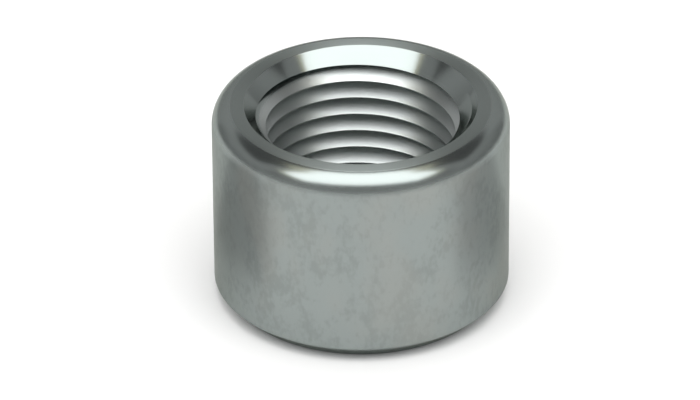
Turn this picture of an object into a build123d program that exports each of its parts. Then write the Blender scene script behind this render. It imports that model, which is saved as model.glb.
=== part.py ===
from build123d import *
from math import atan, ceil, cos, degrees, radians, tan
import os

os.makedirs("parts", exist_ok=True)

# Weld bung turned from 1-1/8 in round bar, standing on its weld end.
# The origin is the centre of the weld end and +Z runs up the bore to the mouth.
# Millimetres and degrees throughout.
inch = 25.4
bar_diameter = 1.125 * inch
height = 20.25
top_edge_radius = 2.1
weld_chamfer = 1.5
countersink_angle = 90
countersink_beyond_thread = 0.504
least_rim_flat_share = 0.25

# 1/2-14 internal taper pipe thread. Depths are counted down from the mouth.
# Full thread reaches the depth that an external thread enters by hand.
threads_per_inch = 14
thread_angle = 60
taper_on_diameter = 1 / 16
mouth_pitch_diameter = 19.772
crest_truncation_in_pitches = 0.05
reamed_depth = 14.715
full_thread_length = 8.128
tap_lead_in_pitches = 1.25
first_groove_depth = 0.569

pitch = inch / threads_per_inch
taper = taper_on_diameter / 2
taper_angle = degrees(atan(taper))
flank = tan(radians(thread_angle / 2))
sharp_height = pitch / 2 / flank
crest_truncation = crest_truncation_in_pitches * pitch
crest_radius = (mouth_pitch_diameter - sharp_height) / 2 + crest_truncation
root_radius = (mouth_pitch_diameter + sharp_height) / 2

# The hole is drilled 11/16 in, and a 1:16 taper reamer opens it down to the reamed depth.
drill_radius = crest_radius - reamed_depth * taper

# The countersink clears the thread at the mouth and runs down to the reamed cone.
# The rounded edge leaves part of the rim round it as a flat face.
bar_radius = bar_diameter / 2
countersink_radius = root_radius + countersink_beyond_thread
sink_slope = tan(radians(countersink_angle / 2))
sink_depth = (countersink_radius - crest_radius) / (sink_slope - taper)
sink_floor_radius = crest_radius - sink_depth * taper
rim_width = bar_radius - countersink_radius
edge_radius = min(top_edge_radius, (1 - least_rim_flat_share) * rim_width)

# Groove centre line: one helix per turn, from below the last tooth to above the mouth.
tap_reach = full_thread_length + tap_lead_in_pitches * pitch
turns = ceil((tap_reach - first_groove_depth) / pitch) + 1
groove_start = height - first_groove_depth - (turns - 1) * pitch
groove_start_radius = root_radius - (height - groove_start) * taper
groove_turns = [
    Helix(
        pitch / cos(radians(taper_angle)),
        pitch,
        groove_start_radius + turn * pitch * taper,
        center=(0, 0, groove_start + turn * pitch),
        cone_angle=taper_angle,
    )
    for turn in range(turns)
]

# Space the tap cuts: the V tooth reaches a little past the crests into the open bore,
# and the lead cone shortens the last teeth until they clear the drilled wall.
tooth_reach = root_radius - crest_radius + crest_truncation / 2
tooth_half_width = tooth_reach * flank
lead_radius = root_radius - full_thread_length * taper
with BuildPart() as thread_tap:
    with BuildSketch(Plane.XZ) as tooth:
        with BuildLine():
            Polyline(
                (groove_start_radius, groove_start),
                (groove_start_radius - tooth_reach, groove_start + tooth_half_width),
                (groove_start_radius - tooth_reach, groove_start - tooth_half_width),
                close=True,
            )
        make_face()
    sweep(path=groove_turns, is_frenet=True, clean=False)
    with BuildSketch(Plane.XZ) as tap_outline:
        with BuildLine():
            Polyline(
                (0, height + pitch),
                (0, height - tap_reach),
                (drill_radius, height - tap_reach),
                (lead_radius, height - full_thread_length),
                (bar_radius, height - full_thread_length),
                (bar_radius, height + pitch),
                close=True,
            )
        make_face()
    revolve(axis=Axis.Z, mode=Mode.INTERSECT, clean=False)

with BuildPart() as bung_body:
    with BuildSketch(Plane.XZ) as half_section:
        with BuildLine():
            Polyline(
                (bar_radius, height - edge_radius),
                (bar_radius, weld_chamfer),
                (bar_radius - weld_chamfer, 0),
                (drill_radius, 0),
                (drill_radius, height - reamed_depth),
                (sink_floor_radius, height - sink_depth),
                (countersink_radius, height),
                (bar_radius - edge_radius, height),
            )
            RadiusArc(
                (bar_radius - edge_radius, height),
                (bar_radius, height - edge_radius),
                edge_radius,
            )
        make_face()
    revolve(axis=Axis.Z)
    add(thread_tap.part, mode=Mode.SUBTRACT)

bung_body.part.label = "bung_body"
export_step(bung_body.part, "parts/bung_body.step")
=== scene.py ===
import math

import bmesh
import bpy
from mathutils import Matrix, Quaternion, Vector


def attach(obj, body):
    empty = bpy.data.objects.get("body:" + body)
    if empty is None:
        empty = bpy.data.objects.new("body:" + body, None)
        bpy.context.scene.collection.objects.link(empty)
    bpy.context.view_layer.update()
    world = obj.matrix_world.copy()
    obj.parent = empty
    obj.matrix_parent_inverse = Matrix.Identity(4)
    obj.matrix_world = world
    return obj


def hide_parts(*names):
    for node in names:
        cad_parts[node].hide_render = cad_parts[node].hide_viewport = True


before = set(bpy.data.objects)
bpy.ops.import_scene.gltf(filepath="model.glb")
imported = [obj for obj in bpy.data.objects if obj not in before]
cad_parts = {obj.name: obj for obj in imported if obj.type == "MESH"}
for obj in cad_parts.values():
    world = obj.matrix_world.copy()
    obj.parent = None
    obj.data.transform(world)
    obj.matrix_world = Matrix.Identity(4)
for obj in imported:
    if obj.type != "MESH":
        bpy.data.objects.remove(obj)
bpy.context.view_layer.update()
scene = bpy.context.scene
mm = 0.001
print("frame loaded")


def linear(hexCode):
    # sRGB hex to the linear colour that a socket takes
    channels = [int(hexCode[i : i + 2], 16) / 255 for i in (1, 3, 5)]
    return [c / 12.92 if c <= 0.04045 else ((c + 0.055) / 1.055) ** 2.4 for c in channels] + [1]


def addNode(tree, kind, settings=None, links=None):
    # one node with its settings and its incoming links; sockets go by name or by number
    node = tree.nodes.new(kind)
    for name, value in (settings or {}).items():
        if isinstance(name, str) and hasattr(node, name):
            setattr(node, name, value)
        else:
            node.inputs[name].default_value = value
    for name, source in (links or {}).items():
        tree.links.new(source, node.inputs[name])
    return node


# Bung sizes in millimetres, as in the CAD part
bung = {
    "height": 20.25,
    "outsideRadius": 14.282,
    "topEdgeRadius": 2.1,
    "weldChamfer": 1.5,
    "countersinkRadius": 11.176,
    "drillRadius": 8.731,
    "reamedDepth": 14.715,
    "edgeBreak": 0.09,  # the hand-held deburring left on the sharp corners
    "steps": 480,
}

# 1/2-14 internal taper pipe thread
thread = {
    "pitch": 25.4 / 14,
    "taper": 1 / 32,
    "rootRadius": 10.672,
    "crestRadius": 9.191,
    "fullLength": 13.556,
    "leadTurns": 2.25,
    "firstGroove": 0.569,
    "rootFlat": 0.06,
    "stepsPerTurn": 360,
}


def roundedSection(corners):
    # corners are (radius, height, rounding); each rounding becomes a tangent arc
    points = []
    count = len(corners)
    for i, (x, z, rounding) in enumerate(corners):
        here = Vector((x, z))
        before = (Vector(corners[i - 1][:2]) - here).normalized()
        after = (Vector(corners[(i + 1) % count][:2]) - here).normalized()
        if rounding == 0:
            points.append(here)
            continue
        half = before.angle(after) / 2
        centre = here + (before + after).normalized() * (rounding / math.sin(half))
        start = here + before * (rounding / math.tan(half)) - centre
        end = here + after * (rounding / math.tan(half)) - centre
        turn = start.angle_signed(end)
        pieces = max(3, round(abs(turn) * (4 + 5 * rounding)))
        for k in range(pieces + 1):
            angle = -turn * k / pieces
            cos, sin = math.cos(angle), math.sin(angle)
            points.append(centre + Vector((start.x * cos - start.y * sin, start.x * sin + start.y * cos)))
    return points


def turnedBlank():
    # the blank before tapping: the half section spun round the bore axis
    b, t = bung, thread
    sinkDepth = (b["countersinkRadius"] - t["crestRadius"]) / (1 - t["taper"])
    sinkFloor = t["crestRadius"] - sinkDepth * t["taper"]
    top = b["height"]
    section = roundedSection(
        [
            (b["outsideRadius"], top, b["topEdgeRadius"]),
            (b["outsideRadius"], b["weldChamfer"], 0.25),
            (b["outsideRadius"] - b["weldChamfer"], 0, 0.12),
            (b["drillRadius"], 0, 0.12),
            (b["drillRadius"], top - b["reamedDepth"], 0),
            (sinkFloor, top - sinkDepth, 0),
            (b["countersinkRadius"], top, b["edgeBreak"]),
        ]
    )
    mesh = bmesh.new()
    verts = [mesh.verts.new((p.x, 0, p.y)) for p in section]
    edges = [mesh.edges.new((verts[i - 1], verts[i])) for i in range(len(verts))]
    bmesh.ops.spin(mesh, geom=verts + edges, axis=(0, 0, 1), cent=(0, 0, 0), steps=b["steps"], angle=math.tau)
    bmesh.ops.remove_doubles(mesh, verts=mesh.verts[:], dist=1e-3)
    bmesh.ops.recalc_face_normals(mesh, faces=mesh.faces[:])
    data = bpy.data.meshes.new("blank")
    mesh.to_mesh(data)
    mesh.free()
    return data


def threadCutTree():
    # the tap: a V tooth swept along a tapering spiral, cut out of the blank
    tree = bpy.data.node_groups.new("tapThread", "GeometryNodeTree")
    tree.interface.new_socket("Geometry", in_out="INPUT", socket_type="NodeSocketGeometry")
    names = [
        "pitch",
        "turns",
        "steps",
        "start height",
        "start radius",
        "taper",
        "lead height",
        "lead slope",
        "tooth reach",
        "tooth half width",
        "root half flat",
        "scale",
    ]
    for name in names:
        tree.interface.new_socket(name, in_out="INPUT", socket_type="NodeSocketFloat")
    tree.interface.new_socket("metal", in_out="INPUT", socket_type="NodeSocketMaterial")
    tree.interface.new_socket("Geometry", in_out="OUTPUT", socket_type="NodeSocketGeometry")
    sizes = tree.nodes.new("NodeGroupInput").outputs

    def maths(operation, *values):
        node = addNode(tree, "ShaderNodeMath", {"operation": operation})
        for i, value in enumerate(values):
            if isinstance(value, (int, float)):
                node.inputs[i].default_value = value
            else:
                tree.links.new(value, node.inputs[i])
        return node.outputs[0]

    # spiral
    line = addNode(tree, "GeometryNodeCurvePrimitiveLine")
    spiral = addNode(
        tree,
        "GeometryNodeResampleCurve",
        {"mode": "COUNT"},
        {"Curve": line.outputs[0], "Count": sizes["steps"]},
    )
    along = addNode(tree, "GeometryNodeSplineParameter").outputs["Factor"]
    turn = maths("MULTIPLY", along, sizes["turns"])
    angle = maths("MULTIPLY", turn, math.tau)
    rise = maths("MULTIPLY", turn, sizes["pitch"])
    height = maths("ADD", rise, sizes["start height"])
    widened = maths("MULTIPLY_ADD", rise, sizes["taper"], sizes["start radius"])
    below = maths("MAXIMUM", maths("SUBTRACT", sizes["lead height"], height), 0)
    radius = maths("SUBTRACT", widened, maths("MULTIPLY", below, sizes["lead slope"]))
    place = addNode(
        tree,
        "ShaderNodeCombineXYZ",
        links={
            "X": maths("MULTIPLY", radius, maths("COSINE", angle)),
            "Y": maths("MULTIPLY", radius, maths("SINE", angle)),
            "Z": height,
        },
    )
    wound = addNode(
        tree,
        "GeometryNodeSetPosition",
        links={"Geometry": spiral.outputs[0], "Position": place.outputs[0]},
    )
    upright = addNode(
        tree,
        "GeometryNodeSetCurveNormal",
        {"mode": "Z_UP"},
        {"Curve": wound.outputs[0]},
    )

    # tooth section: a narrow flat at the root and a wide side in the open bore
    inward = maths("MULTIPLY", sizes["tooth reach"], -1)
    corners = [
        (0, maths("MULTIPLY", sizes["root half flat"], -1)),
        (0, maths("MULTIPLY", sizes["root half flat"], 1)),
        (inward, maths("MULTIPLY", sizes["tooth half width"], 1)),
        (inward, maths("MULTIPLY", sizes["tooth half width"], -1)),
    ]
    tooth = addNode(tree, "GeometryNodeCurvePrimitiveQuadrilateral", {"mode": "POINTS"})
    for i, (depth, width) in enumerate(corners):
        corner = addNode(tree, "ShaderNodeCombineXYZ", links={"Y": width})
        if depth != 0:
            tree.links.new(depth, corner.inputs["X"])
        tree.links.new(corner.outputs[0], tooth.inputs[f"Point {i + 1}"])
    swept = addNode(
        tree,
        "GeometryNodeCurveToMesh",
        {"Fill Caps": True},
        {"Curve": upright.outputs[0], "Profile Curve": tooth.outputs[0]},
    )
    tapped = addNode(
        tree,
        "GeometryNodeMeshBoolean",
        {"operation": "DIFFERENCE", "solver": "MANIFOLD"},
        {"Mesh 1": sizes["Geometry"], "Mesh 2": swept.outputs[0]},
    )

    # smooth shading that stops at the sharp edges
    smooth = addNode(tree, "GeometryNodeSetShadeSmooth", links={"Geometry": tapped.outputs[0]})
    bend = addNode(tree, "GeometryNodeInputMeshEdgeAngle").outputs["Unsigned Angle"]
    creased = addNode(
        tree,
        "GeometryNodeSetShadeSmooth",
        {"domain": "EDGE", "Shade Smooth": False},
        {"Geometry": smooth.outputs[0], "Selection": maths("GREATER_THAN", bend, math.radians(24))},
    )
    sized = addNode(tree, "GeometryNodeTransform", links={"Geometry": creased.outputs[0], "Scale": sizes["scale"]})
    plain = addNode(tree, "GeometryNodeRealizeInstances", links={0: sized.outputs[0]})
    coated = addNode(tree, "GeometryNodeSetMaterial", links={"Geometry": plain.outputs[0], "Material": sizes["metal"]})
    end = tree.nodes.new("NodeGroupOutput")
    tree.links.new(coated.outputs[0], end.inputs[0])
    return tree


def bakedMesh(thing, name):
    # the evaluated object as a plain mesh, with no modifier left on it
    graph = bpy.context.evaluated_depsgraph_get()
    data = bpy.data.meshes.new_from_object(thing.evaluated_get(graph))
    bpy.data.objects.remove(thing)
    data.name = name
    solid = bpy.data.objects.new(name, data)
    scene.collection.objects.link(solid)
    return solid


def makeBung(metal):
    t = thread
    height = bung["height"]
    reach = t["fullLength"] + t["leadTurns"] * t["pitch"]
    turns = math.ceil((reach - t["firstGroove"]) / t["pitch"]) + 1
    start = height - t["firstGroove"] - (turns - 1) * t["pitch"]
    leadDrop = (t["rootRadius"] - reach * t["taper"]) - bung["drillRadius"]
    toothReach = t["rootRadius"] - t["crestRadius"] + 0.05
    values = {
        "pitch": t["pitch"],
        "turns": turns,
        "steps": turns * t["stepsPerTurn"] + 1,
        "start height": start,
        "start radius": t["rootRadius"] - (height - start) * t["taper"],
        "taper": t["taper"],
        "lead height": height - t["fullLength"],
        "lead slope": leadDrop / (t["leadTurns"] * t["pitch"]),
        "tooth reach": toothReach,
        "tooth half width": t["rootFlat"] / 2 + toothReach * math.tan(math.radians(30)),
        "root half flat": t["rootFlat"] / 2,
        "scale": mm,
        "metal": metal,
    }
    blank = bpy.data.objects.new("blank", turnedBlank())
    scene.collection.objects.link(blank)
    tap = blank.modifiers.new("tapThread", "NODES")
    tap.node_group = threadCutTree()
    for item in tap.node_group.interface.items_tree:
        if item.in_out == "INPUT" and item.name in values:
            tap[item.identifier] = values[item.name]
    return bakedMesh(blank, "threadedBung")


# Low-carbon steel, turned from bar and tapped, with a dull grey skin left outside.
# The eye gets a soft pewter side with cloudy patches, rings on the end face, a bright
# smooth countersink and a rougher bore.
steel = {
    "base": "#969D9B",
    "stain": "#838A87",
    "warmStain": "#9E9F9A",
    "freshCut": "#CACFCE",
    "grazing": "#CDCFCB",
    "sideRoughness": 0.36,
    "faceRoughness": 0.42,
    "sinkRoughness": 0.16,
    "edgeRoughness": 0.22,
    "boreRoughness": 0.37,
    "ringAnisotropy": 0.75,
    "cloudSize": 2.4,
    "streakWidth": 0.5,
    "grainSize": 0.14,
    "ringSpacing": 0.32,  # real feed marks are about 0.15 mm, drawn coarser so they show
}


def turnedSteel():
    material = bpy.data.materials.new("turnedCarbonSteel")
    material.use_nodes = True
    tree = material.node_tree
    shader = tree.nodes["Principled BSDF"]
    coords = addNode(tree, "ShaderNodeTexCoord").outputs["Object"]
    inMillimetres = addNode(
        tree, "ShaderNodeMapping", {"Scale": (1000, 1000, 1000)}, {"Vector": coords}
    ).outputs[0]
    parts = addNode(tree, "ShaderNodeSeparateXYZ", links={0: inMillimetres}).outputs

    def maths(operation, *values, clamp=False):
        node = addNode(tree, "ShaderNodeMath", {"operation": operation, "use_clamp": clamp})
        for i, value in enumerate(values):
            if isinstance(value, (int, float)):
                node.inputs[i].default_value = value
            else:
                tree.links.new(value, node.inputs[i])
        return node.outputs[0]

    def ramp(value, low, high, fromValue=0.0, toValue=1.0):
        node = addNode(
            tree,
            "ShaderNodeMapRange",
            {"interpolation_type": "SMOOTHSTEP", 1: low, 2: high, 3: fromValue, 4: toValue},
            {0: value},
        )
        return node.outputs[0]

    def blend(factor, first, second):
        node = addNode(tree, "ShaderNodeMix", {"data_type": "FLOAT"}, {"Factor": factor})
        for socket, value in ((2, first), (3, second)):
            if isinstance(value, (int, float)):
                node.inputs[socket].default_value = value
            else:
                tree.links.new(value, node.inputs[socket])
        return node.outputs[0]

    def tint(factor, first, second):
        node = addNode(tree, "ShaderNodeMix", {"data_type": "RGBA"}, {"Factor": factor})
        for socket, value in ((6, first), (7, second)):
            if isinstance(value, str):
                node.inputs[socket].default_value = linear(value)
            else:
                tree.links.new(value, node.inputs[socket])
        return node.outputs[2]

    def noise(vector, size, detail=3.0, stretch=1.0, rough=0.5):
        # size is the width of a patch in millimetres, stretch how much taller it is
        scaled = addNode(
            tree, "ShaderNodeMapping", {"Scale": (1 / size, 1 / size, 1 / (size * stretch))}, {"Vector": vector}
        )
        node = addNode(
            tree, "ShaderNodeTexNoise", {"Scale": 1.0, "Detail": detail, "Roughness": rough}, {"Vector": scaled.outputs[0]}
        )
        return node.outputs[0]

    radius = maths("SQRT", maths("ADD", maths("MULTIPLY", parts["X"], parts["X"]), maths("MULTIPLY", parts["Y"], parts["Y"])))
    height = parts["Z"]
    top = bung["height"]

    # where each machined surface lies
    outside = ramp(radius, 11.6, 12.4)
    side = maths("MULTIPLY", ramp(radius, 13.9, 14.2), ramp(height, top - 1.0, top - 2.0))
    bore = maths("MULTIPLY", ramp(radius, 11.3, 11.15), ramp(height, top - 1.9, top - 2.15))
    endFace = maths("MULTIPLY", ramp(height, top - 0.04, top - 0.01), ramp(radius, 11.1, 11.25))

    # clouds, upright streaks and fine grain of the bar's skin
    cloud = noise(inMillimetres, steel["cloudSize"], 4.0, 1.3)
    patch = noise(inMillimetres, steel["cloudSize"] * 2.3, 2.0, 1.8)
    streak = noise(inMillimetres, steel["streakWidth"], 3.0, 1.7)
    grain = noise(inMillimetres, steel["grainSize"], 2.0)
    mottle = maths("ADD", maths("MULTIPLY", cloud, 0.55), maths("MULTIPLY", streak, 0.45))
    dull = maths("MULTIPLY", ramp(mottle, 0.46, 0.62), side)
    skin = tint(maths("MULTIPLY", dull, 0.45), steel["base"], steel["stain"])
    warm = maths("MULTIPLY", maths("MULTIPLY", ramp(patch, 0.45, 0.7), side), 0.4)
    colour = tint(bore, tint(warm, skin, steel["warmStain"]), steel["freshCut"])
    tree.links.new(colour, shader.inputs["Base Color"])

    # roughness by surface
    rough = blend(outside, steel["sinkRoughness"], steel["edgeRoughness"])
    rough = blend(endFace, rough, steel["faceRoughness"])
    sideRough = maths("MULTIPLY_ADD", maths("SUBTRACT", mottle, 0.5), 0.2, steel["sideRoughness"])
    rough = blend(side, rough, sideRough)
    rough = blend(bore, rough, steel["boreRoughness"])
    tree.links.new(rough, shader.inputs["Roughness"])

    # feed rings: noise along the radius only, on the end face and countersink
    ringNoise = addNode(
        tree,
        "ShaderNodeTexNoise",
        {"noise_dimensions": "1D", "Scale": 1 / steel["ringSpacing"], "Detail": 3.0, "Roughness": 0.6},
        {"W": maths("ADD", radius, maths("MULTIPLY", height, 0.7))},
    ).outputs[0]
    ringDepth = maths("MULTIPLY", ringNoise, blend(endFace, 0.12, 1.0))
    ringBump = addNode(tree, "ShaderNodeBump", {"Strength": 1.0, "Distance": 0.000012}, {"Height": ringDepth})
    skinHeight = maths("ADD", maths("MULTIPLY", maths("ADD", streak, maths("MULTIPLY", grain, 0.6)), side), maths("MULTIPLY", grain, maths("MULTIPLY", bore, 0.8)))
    skinBump = addNode(
        tree,
        "ShaderNodeBump",
        {"Strength": 1.0, "Distance": 0.000012},
        {"Height": skinHeight, "Normal": ringBump.outputs[0]},
    )
    tree.links.new(skinBump.outputs[0], shader.inputs["Normal"])
    shader.inputs["Metallic"].default_value = 1
    shader.inputs["Specular Tint"].default_value = linear(steel["grazing"])

    # the tool's rings spread a reflection across them, out from the axis
    shader.inputs["Anisotropic"].default_value = steel["ringAnisotropy"]
    shader.inputs["Anisotropic Rotation"].default_value = 0.25
    rings = addNode(tree, "ShaderNodeTangent", {"direction_type": "RADIAL", "axis": "Z"})
    tree.links.new(rings.outputs[0], shader.inputs["Tangent"])
    return material


metal = turnedSteel()
bungPiece = makeBung(metal)
print("bung", len(bungPiece.data.polygons), "faces")


# Studio: pale floor, overhead softbox, grey cards round the set, white beyond them
studio = {
    "floorSize": 4.0,
    "floorColour": "#F2F2F2",
    "softboxHeight": 1.0,
    "softboxStrength": 3.1,
    "edgeWidth": 0.16,
    "edgeStrength": 1.1,
    "edgeColour": "#EFE8CF",
    "roomStrength": 0.58,
    "cardDistance": 1.3,
    "ceilingSize": 2.7,
}


def glowing(name, strength, colour="#FFFFFF"):
    material = bpy.data.materials.new(name)
    material.use_nodes = True
    tree = material.node_tree
    tree.nodes.clear()
    glow = addNode(tree, "ShaderNodeEmission", {"Color": linear(colour), "Strength": strength})
    addNode(tree, "ShaderNodeOutputMaterial", links={"Surface": glow.outputs[0]})
    return material


def stagePanel(name, corners, faces, material, hidden=True):
    data = bpy.data.meshes.new(name)
    data.from_pydata(corners, [], faces)
    data.materials.append(material)
    panel = bpy.data.objects.new(name, data)
    scene.collection.objects.link(panel)
    panel.visible_camera = not hidden
    return panel


def shownRays(tree):
    # 1 for what the camera, a reflection or a glass sees, 0 for the light itself
    path = addNode(tree, "ShaderNodeLightPath").outputs
    first = addNode(
        tree,
        "ShaderNodeMath",
        {"operation": "ADD", "use_clamp": True},
        {0: path["Is Camera Ray"], 1: path["Is Glossy Ray"]},
    )
    both = addNode(
        tree,
        "ShaderNodeMath",
        {"operation": "ADD", "use_clamp": True},
        {0: first.outputs[0], 1: path["Is Transmission Ray"]},
    )
    return both.outputs[0]


def makeFloor():
    material = bpy.data.materials.new("paleFloor")
    material.use_nodes = True
    shader = material.node_tree.nodes["Principled BSDF"]
    shader.inputs["Base Color"].default_value = linear(studio["floorColour"])
    shader.inputs["Roughness"].default_value = 0.9
    shader.inputs["Specular IOR Level"].default_value = 0.1
    half = studio["floorSize"] / 2
    corners = [(-half, -half, 0), (half, -half, 0), (half, half, 0), (-half, half, 0)]
    stagePanel("floor", corners, [(0, 1, 2, 3)], material, hidden=False)


# painted shade: grey glowing sheets lying on the floor beside the bung, seen only in its sides, where they stand for
# the floor's shade around it
paintedShadeSheets = {
    "shadeSheetLeft": (-0.085, -0.0205, 0.5),
    "shadeSheetRight": (0.0215, 0.085, 0.62),
}


# lays the painted-shade sheets: each glows grey and is hidden from the camera, from diffuse light and from shadows
def makePaintedShadeSheets():
    near, far, height = -0.016, 0.012, 0.0004
    for name, (left, right, strength) in paintedShadeSheets.items():
        corners = [(left, near, height), (right, near, height), (right, far, height), (left, far, height)]
        sheet = stagePanel(name, corners, [(0, 1, 2, 3)], glowing(name + "Cloth", strength))
        sheet.visible_diffuse = sheet.visible_shadow = False


def makeSoftbox():
    h = studio["softboxHeight"]
    outline = [(0.12, 0.55), (0.36, 0.05), (0.93, -0.28), (0.93, -0.85)]
    corners = [(x * h, y * h, h) for x, y in outline] + [(-x * h, y * h, h) for x, y in reversed(outline)]
    stagePanel("softbox", corners, [tuple(range(8))], glowing("softboxCloth", studio["softboxStrength"]))
    warm = glowing("softboxEdge", studio["edgeStrength"], studio["edgeColour"])
    for side, name in ((1, "edgeRight"), (-1, "edgeLeft")):
        inner = [(side * x * h, y * h, h + 0.002) for x, y in outline]
        outer = [(side * (x + studio["edgeWidth"]) * h, y * h, h + 0.002) for x, y in outline]
        stagePanel(name, inner + outer, [(i, i + 1, i + 5, i + 4) for i in range(3)], warm)


# each card: left and right ends clockwise from the camera's side in degrees,
# low and high edges in degrees, brightness at the low edge and where it levels off
cards = {
    "cardLeft": (-138, -78, 0, 40, 0.25, 0.50),
    "cardRight": (78, 138, 0, 40, 0.24, 0.47),
    "cardFront": (-78, 78, 0, 40, 0.46, 0.32),
    "cardBack": (138, 222, 0, 40, 0.50, 0.55),
}


def makeCards():
    reach = studio["cardDistance"]
    for name, (left, right, low, high, dim, bright) in cards.items():
        foot, head = [math.tan(math.radians(e)) * reach for e in (low, high)]
        corners, faces, steps = [], [], 16
        for i in range(steps + 1):
            azimuth = math.radians(left + (right - left) * i / steps)
            x, y = math.sin(azimuth) * reach, -math.cos(azimuth) * reach
            corners += [(x, y, foot), (x, y, head)]
        for i in range(steps):
            faces.append((2 * i, 2 * i + 1, 2 * i + 3, 2 * i + 2))
        paint = glowing(name + "Paint", 1.0)
        tree = paint.node_tree
        coords = addNode(tree, "ShaderNodeTexCoord").outputs["Object"]
        rise = addNode(tree, "ShaderNodeSeparateXYZ", links={0: coords}).outputs["Z"]
        grade = addNode(tree, "ShaderNodeMapRange", {1: foot, 2: head * 0.65, 3: dim, 4: bright}, {0: rise})
        tree.links.new(grade.outputs[0], tree.nodes["Emission"].inputs["Strength"])
        card = stagePanel(name, corners, faces, paint)
        card.visible_diffuse = False


# ceiling strips above the softbox: near and far edge in metres, brightness
ceiling = {
    "ceilingFront": (-1.35, -0.85, 0.18),
    "ceilingMiddle": (-0.85, 0.14, 0.44),
    "ceilingBack": (0.14, 1.35, 0.12),
}


def makeCeiling():
    half, height = studio["ceilingSize"] / 2, studio["softboxHeight"] + 0.03
    for name, (near, far, strength) in ceiling.items():
        corners = [(-half, near, height), (half, near, height), (half, far, height), (-half, far, height)]
        strip = stagePanel(name, corners, [(0, 1, 2, 3)], glowing(name + "Paint", strength))
        strip.visible_diffuse = False


def makeWorld():
    world = bpy.data.worlds.new("studio")
    scene.world = world
    world.use_nodes = True
    tree = world.node_tree
    tree.nodes.clear()
    room = addNode(tree, "ShaderNodeBackground", {"Strength": studio["roomStrength"], "Color": (1, 1, 1, 1)})
    white = addNode(tree, "ShaderNodeBackground", {"Strength": 1, "Color": (1, 1, 1, 1)})
    mix = addNode(tree, "ShaderNodeMixShader", links={0: shownRays(tree), 1: room.outputs[0], 2: white.outputs[0]})
    addNode(tree, "ShaderNodeOutputWorld", links={"Surface": mix.outputs[0]})


makeCards()
makeCeiling()
makeFloor()
makePaintedShadeSheets()
makeSoftbox()
makeWorld()
print("studio")


# Camera as solved from the photograph's outline, in metres and degrees
view = {
    "location": (0, -0.51900, 0.32798),
    "aim": (-0.00108, 0, 0.00945),
    "roll": -0.38,
    "lens": 324.8,
}


def makeCamera():
    data = bpy.data.cameras.new("camera")
    data.lens = view["lens"]
    data.sensor_width = 36
    data.clip_start = 0.01
    data.clip_end = 20
    camera = bpy.data.objects.new("camera", data)
    scene.collection.objects.link(camera)
    camera.location = view["location"]
    sight = (Vector(view["aim"]) - camera.location).to_track_quat("-Z", "Y")
    camera.rotation_mode = "QUATERNION"
    camera.rotation_quaternion = sight @ Quaternion((0, 0, 1), math.radians(view["roll"]))
    scene.camera = camera


makeCamera()
scene.view_settings.view_transform = "Standard"

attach(bungPiece, "root")
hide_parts("bung_body")
